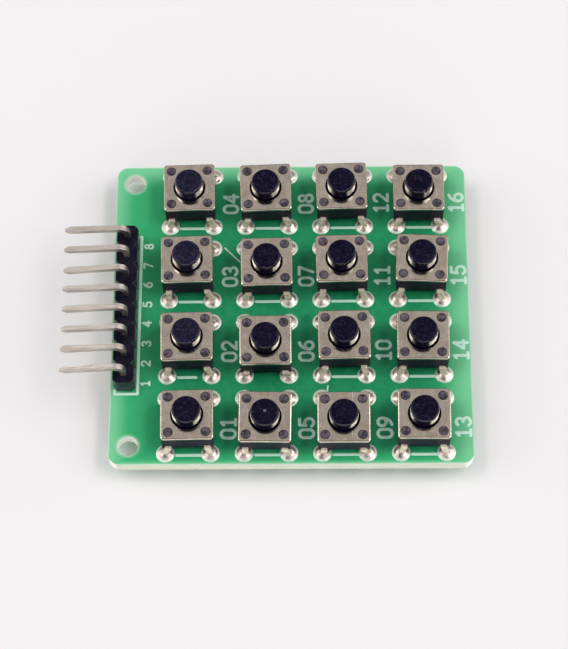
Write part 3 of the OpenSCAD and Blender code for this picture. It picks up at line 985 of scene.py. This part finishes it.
@dataclass
class Ribbon:
    """Raised lines of ink or track: a flattened tube along each path, level with the board, with round ends.

    Lines that cross differ in height by a hair, so that no two of their faces lie in one plane.
    """

    width: float
    height: float
    level: float
    below: bool = False
    step: float = 0.0004 * MM
    steps: int = 8
    sharp: float = 30.0
    end_rings: int = 4
    merge: float = 0.0001 * MM

    def strokes(self, path: Sequence[Vector]) -> list[list[Vector]]:
        """Splits a path at its sharp corners.

        Args:
            path: the points of its middle line.

        Returns:
            The points of each stroke.
        """
        parts, part = [], [path[0]]
        for before, corner, after in zip(path, path[1:], path[2:]):
            part.append(corner)
            if (corner - before).angle(after - corner, 0.0) > math.radians(self.sharp):
                parts.append(part)
                part = [corner]
        return parts + [part + [path[-1]]]

    def tube(self, path: Sequence[Vector]) -> bmesh.types.BMesh:
        """A round tube along a path, with a ball at each end.

        Args:
            path: the points of its middle line, seen along Z.

        Returns:
            The tube, at height 0.
        """
        curve = bpy.data.curves.new("ribbon", "CURVE")
        curve.dimensions = "3D"
        curve.bevel_depth = self.width / 2
        curve.bevel_resolution = 1
        curve.use_fill_caps = True
        spline = curve.splines.new("POLY")
        spline.points.add(len(path) - 1)
        for point, place in zip(spline.points, path):
            point.co = (place.x, place.y, 0, 1)
        carrier = bpy.data.objects.new("ribbon", curve)
        bpy.context.scene.collection.objects.link(carrier)
        mesh = bpy.data.meshes.new_from_object(carrier)
        part = bmesh.new()
        part.from_mesh(mesh)
        for place in (path[0], path[-1]):
            bmesh.ops.create_uvsphere(part, u_segments=2 * self.end_rings, v_segments=self.end_rings,
                                      radius=self.width / 2, matrix=Matrix.Translation((place.x, place.y, 0)))
        bpy.data.objects.remove(carrier)
        bpy.data.curves.remove(curve)
        bpy.data.meshes.remove(mesh)
        return part

    def draw(self, bm: bmesh.types.BMesh, paths: Iterable[Sequence[Vector]]) -> None:
        """Adds each path's line to a mesh.

        Args:
            bm: the mesh that takes the lines.
            paths: the middle of each line, seen along Z.
        """
        strokes = [stroke for path in paths for stroke in self.strokes(path)]
        for index, stroke in enumerate(strokes):
            part = self.tube(stroke)
            height = self.height + index % self.steps * self.step
            for vert in part.verts:
                rise = max(vert.co.z / (self.width / 2), 0) * height
                vert.co.z = self.level + (-rise if self.below else rise)
            bmesh.ops.remove_doubles(part, verts=part.verts, dist=self.merge)
            bmesh.ops.recalc_face_normals(part, faces=part.faces)
            copy_into(part, bm)


@dataclass
class Print:
    """The white printing: the header's outline, the pin numbers, the key numbers and the switches' lines."""

    grid: Grid
    ink: bpy.types.Material
    thickness: float = 0.02 * MM
    bar_w: float = 0.35 * MM
    bar_y: float = -3.6 * MM
    bar_x: Pair = (-1.3 * MM, 1.74 * MM)
    short_bar: Mapping[int, float] = field(default_factory=lambda: {2: 0.77 * MM})
    no_bar: tuple[int, ...] = (6,)
    outline_w: float = 0.33 * MM
    outline_right: float = 0.26 * MM
    outline_front: float = 0.34 * MM
    outline_left: float = 0.08 * MM
    outline_back: float = 0.3 * MM
    front_return: float = 0.5 * MM
    back_return: float = 0.35 * MM
    pin_text_h: float = 0.98 * MM
    pin_text_w: float = 0.24 * MM
    pin_text_x: float = 2.32 * MM
    pin_text_y: float = -0.3 * MM
    key_text_h: float = 1.65 * MM
    key_text_w: float = 0.37 * MM
    key_text_x: float = 5.46 * MM
    key_text_y: float = -0.3 * MM

    def __post_init__(self) -> None:
        """Finds the top of the board."""
        self.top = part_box("circuit_board")[1].z

    def figures(self, text: str, foot: Vector, height: float) -> list[list[Vector]]:
        """The strokes of a number that reads up the board, with its head towards -X.

        Args:
            text: the number.
            foot: the middle of its baseline.
            height: the height of a figure.

        Returns:
            The middle line of each stroke.
        """
        advance = CELL_W + CELL_GAP
        start = -(len(text) * advance - CELL_GAP) / 2
        return [[foot + Vector((-y, start + index * advance + x, 0)) * height for x, y in stroke]
                for index, figure in enumerate(text) for stroke in FIGURES[figure]]

    def header_outline(self) -> list[Vector]:
        """The line round the header's front end and right side, with a short return at each end.

        Returns:
            The corners of its middle line.
        """
        low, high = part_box("header_body")
        left, right = low.x + self.outline_left, high.x + self.outline_right
        front, back = low.y - self.outline_front, high.y - self.outline_back
        corners = ((left, front + self.front_return), (left, front), (right, front), (right, back),
                   (right - self.back_return, back))
        return [Vector((x, y, 0)) for x, y in corners]

    def bars(self) -> list[list[Vector]]:
        """The short line between the front lands of each switch.

        Returns:
            The two ends of each line.
        """
        paths = []
        for key in self.grid.keys():
            if key not in self.no_bar:
                ends = (self.bar_x[0], self.short_bar.get(key, self.bar_x[1]))
                paths.append([self.grid.place(key) + Vector((x, self.bar_y, 0)) for x in ends])
        return paths

    def piece(self, name: str, lines: Iterable[tuple[float, Iterable[Sequence[Vector]]]]) -> None:
        """Makes one piece of printing.

        Args:
            name: its name.
            lines: the width of the lines in each lot, and their paths.
        """
        bm = bmesh.new()
        for width, paths in lines:
            Ribbon(width, self.thickness, self.top).draw(bm, paths)
        new_piece(name, bm, self.ink, smooth=False)

    def build(self) -> None:
        """Makes the three pieces of printing."""
        self.piece("printed_lines", [(self.outline_w, [self.header_outline()]), (self.bar_w, self.bars())])
        feet = [Vector((self.pin_text_x, pin_y(pin) + self.pin_text_y, 0)) for pin in range(PINS)]
        self.piece("printed_pin_numbers", [
            (self.pin_text_w, self.figures(str(pin), foot, self.pin_text_h))
            for pin, foot in enumerate(feet, 1)])
        aside = Vector((self.key_text_x, self.key_text_y, 0))
        self.piece("printed_key_numbers", [
            (self.key_text_w, self.figures(f"{key:02d}", self.grid.place(key) + aside, self.key_text_h))
            for key in self.grid.keys()])


@dataclass
class Tracks:
    """The copper tracks of the underside, as they stand out under the solder mask.

    Lanes run beside the header, from 0 next to it, and each row and each column goes down one.
    """

    grid: Grid
    mask: bpy.types.Material
    width: float = 0.35 * MM
    thickness: float = 0.04 * MM
    mitre: float = 0.4 * MM
    aside: float = 1.2 * MM
    first_lane: float = 1.25 * MM
    lane_pitch: float = 0.55 * MM
    row_lanes: tuple[int, ...] = (0, 2, 3, 1)
    column_lanes: tuple[int, ...] = (1, 2, 2, 0)
    header_x: float = -0.55 * MM

    def mitred(self, path: Sequence[Vector]) -> list[Vector]:
        """Cuts a path's corners at 45 degrees.

        Args:
            path: its points.

        Returns:
            The points of the cut path.
        """
        result = [path[0]]
        for before, corner, after in zip(path, path[1:], path[2:]):
            reach = min(self.mitre, (corner - before).length / 2, (after - corner).length / 2)
            result += [corner + (end - corner).normalized() * reach for end in (before, after)]
        return result + [path[-1]]

    def land(self, column: int, row: int, right: bool, back: bool) -> Vector:
        """The middle of one land of the switch in a column and a row."""
        return self.grid.lands(column * self.grid.rows + row + 1)[2 * back + right]

    def to_header(self, start: Vector, pin: int, lane: int) -> list[Vector]:
        """The way from a point to a pin: level to a lane, along the lane, and level again."""
        x, y = self.first_lane + lane * self.lane_pitch, pin_y(pin)
        return [start, Vector((x, start.y, 0)), Vector((x, y, 0)), Vector((self.header_x, y, 0))]

    def row_tracks(self) -> list[list[Vector]]:
        """Each row's track: along its switches, with a branch to each right-hand strip.

        Returns:
            The corners of each track.
        """
        paths = []
        for row in range(self.grid.rows):
            y = self.grid.place(row + 1).y
            lands = [self.land(column, row, True, False) for column in range(self.grid.columns)]
            paths += [[Vector((land.x, y, 0)), land] for land in lands]
            paths.append(self.to_header(Vector((lands[-1].x, y, 0)), 2 * row, self.row_lanes[row]))
        return paths

    def column_tracks(self) -> list[list[Vector]]:
        """Each column's track: from switch to switch, and out to the header beside a row's track.

        Returns:
            The corners of each track.
        """
        paths = []
        for column in range(self.grid.columns):
            for row in range(self.grid.rows - 1):
                paths.append([self.land(column, row, False, True), self.land(column, row + 1, False, False)])
            start = self.land(column, column, False, True)
            if column:
                turn = Vector((start.x, self.grid.place(column + 1).y + self.aside, 0))
            else:
                turn = (start + self.land(0, 1, False, False)) / 2
            paths.append([start] + self.to_header(turn, 2 * column + 1, self.column_lanes[column]))
        return paths

    def build(self) -> None:
        """Makes the tracks in one piece."""
        bm = bmesh.new()
        paths = [self.mitred(path) for path in self.row_tracks() + self.column_tracks()]
        Ribbon(self.width, self.thickness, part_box("circuit_board")[0].z, below=True).draw(bm, paths)
        new_piece("underside_tracks", bm, self.mask, smooth=False)


@dataclass
class SnapDomes:
    """The snap domes, cut apart into one piece for each switch.
    """

    grid: Grid
    steel: bpy.types.Material
    reach: float = 3.0 * MM
    keep: float = 0.4
    sharp: float = 30.0

    def build(self, packed: bpy.types.Object, joints: Iterable[Mapping[str, Any]]) -> None:
        """Makes one piece for each switch.

        Args:
            packed: the node that holds all the domes.
            joints: the frame's joints.
        """
        axes = {joint["name"]: Vector(joint["axis"]) for joint in joints}
        for key in self.grid.keys():
            joint, place = f"press_{key:02d}", self.grid.place(key)
            bm = bmesh.new()
            bm.from_mesh(packed.data)
            others = [vert for vert in bm.verts if (vert.co - place).xy.length > self.reach]
            bmesh.ops.delete(bm, geom=others, context="VERTS")
            bmesh.ops.remove_doubles(bm, verts=bm.verts, dist=MERGE)
            for edge in bm.edges:
                edge.smooth = edge.calc_face_angle(0.0) < math.radians(self.sharp)
            rim = max((vert.co for vert in bm.verts), key=axes[joint].dot).copy()
            piece = new_piece(f"snap_dome_{key:02d}", bm, self.steel)
            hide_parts(packed.name)
            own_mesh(piece)


@dataclass
class GateMarks:
    """The small ring that the moulding gate leaves in the middle of each button's top.

    Its section is in shares of its radius and its height. All within skin of a button's highest point
    counts as its top.
    """

    grid: Grid
    plastic: bpy.types.Material
    # pale finishes for some keys' marks: painted highlights, for the glint on their gates
    rubbed: Mapping[int, bpy.types.Material]
    radius: float = 0.17 * MM
    height: float = 0.02 * MM
    sunk: float = 0.03 * MM
    section: tuple[Pair, ...] = ((0.0, 0.0), (0.3, 0.1), (0.55, 0.85), (0.75, 1.0), (0.9, 0.6), (1.0, 0.0))
    skin: float = 0.15 * MM
    steps: int = 16

    def top_centre(self, node: bpy.types.Object) -> Vector:
        """Finds the middle of a button's top face.

        Args:
            node: the button.

        Returns:
            The middle of the box round its highest points.
        """
        points = [vert.co for vert in node.data.vertices]
        highest = max(point.z for point in points)
        top = [point for point in points if point.z > highest - self.skin]
        low = [min(point[axis] for point in top) for axis in range(3)]
        high = [max(point[axis] for point in top) for axis in range(3)]
        return (Vector(low) + Vector(high)) / 2

    def build(self, nodes: Mapping[str, bpy.types.Object]) -> None:
        """Makes one mark for each button, riding with it.

        Args:
            nodes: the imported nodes.
        """
        profile = [(out * self.radius, up * self.height) for out, up in self.section]
        profile += [(self.radius, -self.sunk), (0.0, -self.sunk)]
        for key in self.grid.keys():
            bm = bmesh.new()
            lathe(bm, profile, self.top_centre(nodes[f"plunger_{key:02d}"]), self.steps)
            # two marks take a pale finish, a painted highlight of the glint on their gates
            finish = self.rubbed.get(key, self.plastic)
            new_piece(f"gate_mark_{key:02d}", bm, finish, body=f"key_{key:02d}")


@dataclass
class SolderWork:
    """The solder on the lands: a bead above the board that climbs the leg, and a cone below it.

    Each shape is in shares of the land's radius and of the crown, the rim or the cone's depth.
    """

    grid: Grid
    metal: bpy.types.Material
    steps: int = 24
    crown: float = 0.36 * MM
    rim: float = 0.05 * MM
    lean: float = 0.16 * MM
    waviness: float = 0.03 * MM
    wave: float = 0.5 * MM
    leg_hole: float = 0.55 * MM
    pin_hole: float = 0.5 * MM
    crown_range: Pair = (0.82, 1.0)
    cone_range: Pair = (0.85, 1.0)
    bead_shape: tuple[Pair, ...] = ((0.0, 1.0), (0.2, 0.97), (0.38, 0.87), (0.54, 0.7), (0.67, 0.48),
                                    (0.77, 0.28))
    rim_shape: tuple[Pair, ...] = ((0.83, 1.15), (0.97, 0.85), (1.0, 0.0))
    cone_shape: tuple[Pair, ...] = ((0.78, 0.12), (0.6, 0.3), (0.46, 0.55), (0.38, 0.85), (0.0, 1.0))
    cone_rim: float = 0.96
    seed: int = 5

    def __post_init__(self) -> None:
        """Reads the heights off the frame."""
        self.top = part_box("circuit_board")[1].z
        self.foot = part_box("switch_solder")[0].z
        self.random = random.Random(self.seed)

    def profile(self, hole: float, crown: float, foot: float) -> Points:
        """One joint in section, from its crown down to the tip of its cone.

        Args:
            hole: the radius of the plated hole.
            crown: the bead's height above the board, or 0 for none.
            foot: the height of the cone's tip.

        Returns:
            Radius and height of each point.
        """
        radius = self.grid.pad_d / 2
        bead = [(radius * out, self.top + crown * up) for out, up in self.bead_shape]
        bead += [(radius * out, self.top + self.rim * up) for out, up in self.rim_shape]
        cone = [(radius, 0.0), (radius * self.cone_rim, -self.rim)]
        cone += [(radius * out, foot * down) for out, down in self.cone_shape]
        return (bead if crown else [(0.0, self.top)]) + [(hole, self.top), (hole, 0.0)] + cone

    def joint(self, bm: bmesh.types.BMesh, place: Vector, hole: float, crown: float = 0.0,
              lean: float = 0.0) -> None:
        """Adds one joint, drawn towards the leg that it holds.

        Args:
            bm: the mesh that takes it.
            place: the middle of the land.
            hole: the radius of the plated hole.
            crown: the bead's height above the board, or 0 for none.
            lean: how far the crown is drawn along Y.
        """
        foot = self.foot * self.random.uniform(*self.cone_range)
        for vert in lathe(bm, self.profile(hole, crown, foot), place, self.steps):
            rise = vert.co.z - self.top
            if crown and rise > self.rim:
                share = rise / crown
                wave = noise.noise(vert.co / self.wave) * self.waviness * share
                vert.co += Vector((wave, lean * share, wave))
                vert.co.z = min(vert.co.z, self.top + crown)

    def build(self) -> None:
        """Makes the switches' joints and the header's joints."""
        bm = bmesh.new()
        for key in self.grid.keys():
            for land in self.grid.lands(key):
                inward = 1 if land.y < self.grid.place(key).y else -1
                crown = self.crown * self.random.uniform(*self.crown_range)
                self.joint(bm, land, self.leg_hole, crown, inward * self.lean)
        piece = new_piece("solder_joints", bm, self.metal)
        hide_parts("switch_solder")
        low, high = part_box("header_solder")
        pitch = (high.y - low.y - self.grid.pad_d) / (PINS - 1)
        bm = bmesh.new()
        for pin in range(PINS):
            y = low.y + self.grid.pad_d / 2 + pin * pitch
            self.joint(bm, Vector(((low.x + high.x) / 2, y, 0)), self.pin_hole)
        piece = new_piece("header_joints", bm, self.metal)
        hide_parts("header_solder")


@dataclass(frozen=True)
class Lamp:
    """A rectangular soft lamp. Its spread is its width and height as shares of its distance.

    Its brightness is that of its face, where a white table in full light is 1.
    """

    name: str
    azimuth: float
    elevation: float
    spread: Pair
    brightness: float

    def build(self, target: Vector, distance: float) -> None:
        """Sets the lamp up, facing the keypad.

        Args:
            target: the middle of the keypad.
            distance: how far off the lamp stands.
        """
        way = direction(self.azimuth, self.elevation)
        data = bpy.data.lights.new(self.name, "AREA")
        data.shape = "RECTANGLE"
        data.size, data.size_y = (share * distance for share in self.spread)
        data.energy = self.brightness * math.pi * data.size * data.size_y
        lamp = bpy.data.objects.new(self.name, data)
        lamp.location = target + way * distance
        lamp.rotation_euler = way.to_track_quat("Z", "Y").to_euler()
        bpy.context.scene.collection.objects.link(lamp)


@dataclass(frozen=True)
class Window:
    """A round bright part of the room, in degrees: it ends at the first radius and is full at the second."""

    azimuth: float
    elevation: float
    radii: Pair
    glow: float

    def light(self, nodes: Nodes, way: Socket) -> Socket:
        """The window in the room.

        Args:
            nodes: the room's tree.
            way: the direction that is looked in.

        Returns:
            The light that it adds.
        """
        near = nodes.vector("DOT_PRODUCT", {0: way, 1: direction(self.azimuth, self.elevation)}, "Value")
        end, full = (math.cos(math.radians(radius)) for radius in self.radii)
        return nodes.remap(near, end, full, 0.0, self.glow)


@dataclass
class Studio:
    """A pale table, soft lamps to the left and the right, and the camera. Angles are in degrees.

    The room is horizon bright low down and zenith bright overhead, and keeps a share, dark, of that
    where the camera stands. The backdrop reaches as high as its angle.
    """

    azimuth: float = 2.046
    elevation: float = 65.968
    roll: float = -2.2
    distance: float = 262.885 * MM
    target: Vector = field(default_factory=lambda: Vector((18.035, -1.743, 1.6)) * MM)
    lens: float = 123.57
    clip: Pair = (10 * MM, 20.0)
    table: Color = srgb(243, 241, 242)
    table_half: float = 1.5
    table_roughness: float = 0.9
    table_specular: float = 0.1
    horizon: float = 0.39
    zenith: float = 0.1
    dark: float = 0.06
    dark_radii: Pair = (34, 17)
    backdrop: float = 16.0
    lamp_distance: float = 0.7
    lamps: tuple[Lamp, ...] = (Lamp("left_lamp", -110, 64, (0.42, 0.18), 4.9),
                               Lamp("right_lamp", 86, 64, (0.7, 0.17), 5.6))
    windows: tuple[Window, ...] = (Window(0, 14, (44, 20), 1.5), Window(-90, 33, (38, 18), 1.76),
                                   Window(90, 33, (38, 18), 1.76), Window(180, 64, (30, 14), 0.5))

    def camera(self) -> None:
        """Sets the camera where the picture was taken from."""
        back = direction(self.azimuth, self.elevation)
        right = UP.cross(back).normalized()
        up = back.cross(right)
        roll = math.radians(self.roll)
        turned = (right * math.cos(roll) + up * math.sin(roll), up * math.cos(roll) - right * math.sin(roll))
        data = bpy.data.cameras.new("camera")
        data.lens = self.lens
        data.clip_start, data.clip_end = self.clip
        camera = bpy.data.objects.new("camera", data)
        axes = Matrix((turned[0], turned[1], back)).transposed()
        camera.matrix_world = Matrix.Translation(self.target + back * self.distance) @ axes.to_4x4()
        bpy.context.scene.collection.objects.link(camera)
        bpy.context.scene.camera = camera

    def world(self) -> None:
        """A soft room, darker where the camera stands, that the camera itself sees as white.

        What is seen through glass has that white too, and so has what metal mirrors low down, where a
        backdrop would be.
        """
        world = bpy.data.worlds.new("room")
        world.use_nodes = True
        nodes = Nodes(world.node_tree)
        nodes.tree.nodes.clear()
        way = nodes.add("TexCoord").outputs["Generated"]
        near = nodes.vector("DOT_PRODUCT", {0: way, 1: direction(0, self.elevation)}, "Value")
        height = nodes.parts(way)["Z"]
        sky = nodes.add("MapRange", {"Value": height, "To Min": self.horizon, "To Max": self.zenith})
        rim, full = (math.cos(math.radians(radius)) for radius in self.dark_radii)
        shade = nodes.math("MULTIPLY", sky.outputs["Result"], nodes.remap(near, rim, full, 1.0, self.dark))
        for window in self.windows:
            shade = nodes.math("ADD", shade, window.light(nodes, way))
        path = nodes.add("LightPath").outputs
        low = nodes.remap(height, 0.0, math.sin(math.radians(self.backdrop)), 1.0, 0.0)
        straight = nodes.math("MAXIMUM", path["Is Camera Ray"], path["Is Transmission Ray"])
        seen = nodes.math("MAXIMUM", straight, nodes.math("MULTIPLY", path["Is Glossy Ray"], low))
        backdrop = nodes.add("Background", {"Color": self.table, "Strength": nodes.mix(seen, shade, 1.0)})
        nodes.add("OutputWorld", {"Surface": backdrop.outputs[0]})
        bpy.context.scene.world = world

    def floor(self) -> None:
        """A large pale table under the keypad's feet."""
        material = bpy.data.materials.new("table")
        material.use_nodes = True
        shader = material.node_tree.nodes["Principled BSDF"]
        shader.inputs["Base Color"].default_value = self.table
        shader.inputs["Roughness"].default_value = self.table_roughness
        shader.inputs["Specular IOR Level"].default_value = self.table_specular
        bm = bmesh.new()
        bmesh.ops.create_grid(bm, x_segments=1, y_segments=1, size=self.table_half)
        bmesh.ops.translate(bm, verts=bm.verts, vec=(0, 0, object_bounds()[0].z))
        mesh = bpy.data.meshes.new("table")
        bm.to_mesh(mesh)
        bm.free()
        mesh.materials.append(material)
        table = bpy.data.objects.new("table", mesh)
        bpy.context.scene.collection.objects.link(table)
        table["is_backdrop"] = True

    def build(self) -> None:
        """Sets up the whole studio."""
        self.camera()
        self.world()
        self.floor()
        for lamp in self.lamps:
            lamp.build(self.target, self.lamp_distance)
        bpy.context.scene.view_settings.view_transform = "Standard"
        log.info("studio: camera, world, table and %d lamps", len(self.lamps))


class Finishes:
    """Every finish of the keypad, each made into a material once."""

    def __init__(self, grid: Grid) -> None:
        """Makes the materials.

        Args:
            grid: the places of the keys, for the marks next to one of them.
        """
        self.grid = grid
        self.masks()
        self.plastics()
        self.metals()
        self.ink = Ink("white_ink", srgb(214, 255, 232), 0.6).build()

    def masks(self) -> None:
        """The board's own finish, and that of the tracks under its mask."""
        low, high = (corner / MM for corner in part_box("circuit_board"))
        mask = SolderMask(
            "green_mask", srgb(33, 152, 100), 0.3, specular=0.12, low=tuple(low), high=tuple(high),
            # a painted pool of light over the board's back left corner
            bleached=(Mark((low.x, high.y), (1.0, 0.0), 22.0, 0.5),),
            scratches=(Mark((10.95, 8.34), (1.82, -1.87), 0.18), Mark((23.17, -9.62), (-0.1, -0.68), 0.18)),
            smudges=(Mark((20.5, -1.2), (0.3, 0.2), 1.1, 0.6),),
            cleared=tuple(Mark((0.0, y), (0.01, 0.0), 2.75, 0.8) for y in (-17.0, 17.0)))
        copper = replace(mask, name="mask_on_copper", color=srgb(52, 168, 112), deep=srgb(30, 140, 96))
        self.board, self.over_copper = mask.build(), copper.build()

    def plastics(self) -> None:
        """The black mouldings, and pale finishes that paint a highlight on the gate marks of two of the
        buttons.
        """
        base = StakedPlastic("black_moulding", srgb(17, 15, 36), 0.5, specular=0.15, edge_radius=0.05 * MM)
        button = ButtonPlastic("button_black", srgb(8, 6, 29), 0.55, specular=0.04, coat_roughness=0.08,
                               edge_radius=0.1 * MM, fleck_size=0.3, fleck_share=0.04)
        dusty = replace(button, name="dusty_button", color=srgb(20, 18, 40), specular=0.06,
                        fleck_share=0.06, fleck=srgb(84, 80, 106), dust=0.32)
        header = HeaderPlastic("header_black", srgb(8, 6, 24), 0.45, specular=0.1, coat_roughness=0.25,
                               edge_radius=0.12 * MM, worn=srgb(58, 52, 78))
        # two pale gate finishes: painted highlights, bright on key 7 and dimmer on key 5
        rubbed = MouldedPlastic("painted_gate_glint", srgb(206, 208, 232), 0.35, worn=srgb(150, 150, 190))
        dim_painted_glint = replace(rubbed, name="dim_painted_gate_glint", color=srgb(128, 124, 160), worn=srgb(84, 80, 110))
        self.base, self.button, self.dusty, self.header = (
            finish.build() for finish in (base, button, dusty, header))
        self.gates = {5: dim_painted_glint.build(), 7: rubbed.build()}

    def metals(self) -> None:
        """The covers' steel, the domes' steel, the tinned strips and pins, and the solder."""
        nine = self.grid.place(9) / MM
        low, high = (corner.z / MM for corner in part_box("circuit_board"))
        cover = SheetMetal("satin_steel", srgb(228, 216, 198), 0.14, metallic=1.0, edge_radius=0.06 * MM)
        scratch = Mark((nine.x + 0.8, nine.y - 2.6), (0.06, 5.6), 0.14, 0.5)
        scratched = replace(cover, name="scratched_steel", scratches=(scratch,))
        dome = SheetMetal("spring_steel", srgb(200, 200, 200), 0.2, metallic=1.0, edge_radius=0.03 * MM)
        strip = TinnedMetal("tinned_brass", srgb(250, 240, 222), 0.5, metallic=0.2, edge_radius=0.04 * MM)
        pin = TinnedMetal("tinned_pins", srgb(205, 196, 187), 0.46, metallic=1.0, warm=srgb(174, 165, 156),
                          patch=0.17, drawn=(0.07, 1.0, 0.14), ripple_size=0.6, ripple_depth=0.0006 * MM)
        solder = Solder("fresh_solder", srgb(226, 212, 205), 0.4, metallic=1.0, warm=srgb(204, 180, 164),
                        warmth=0.5, ripple_size=0.4, ripple_depth=0.02 * MM, board=(low, high))
        self.cover, self.scratched, self.dome, self.strip, self.pin, self.solder = (
            finish.build() for finish in (cover, scratched, dome, strip, pin, solder))

    def dress(self, nodes: Mapping[str, bpy.types.Object]) -> None:
        """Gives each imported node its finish.

        Args:
            nodes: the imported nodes.
        """
        keys = self.grid.keys()
        worn = (("cover_plate", (9,), self.scratched), ("plunger", (2, 3, 4), self.dusty))
        sets = (("cover_plate", keys, self.cover), ("switch_base", keys, self.base),
                ("plunger", keys, self.button))
        finishes = {f"{name}_{key:02d}": finish for name, numbers, finish in sets + worn for key in numbers}
        finishes |= {"circuit_board": self.board, "header_body": self.header, "header_pins": self.pin,
                     "centre_terminals": self.strip, "rim_terminals": self.strip, "snap_domes": self.dome,
                     "switch_solder": self.solder, "header_solder": self.solder}
        for name, finish in finishes.items():
            for holder in nodes[name].material_slots:
                holder.material = finish
            log.info("%s: %s", name, finish.name)


def main() -> None:
    """Dresses every node and builds every added piece, in order."""
    logging.basicConfig(level=logging.INFO, format="%(message)s")
    Studio().build()
    grid = Grid()
    finishes = Finishes(grid)
    finishes.dress(frame["nodes"])
    SnapDomes(grid, finishes.dome).build(frame["nodes"]["snap_domes"], frame["joints"])
    SolderWork(grid, finishes.solder).build()
    Print(grid, finishes.ink).build()
    Tracks(grid, finishes.over_copper).build()
    GateMarks(grid, finishes.button, finishes.gates).build(frame["nodes"])


if __name__ == "__main__":
    main()
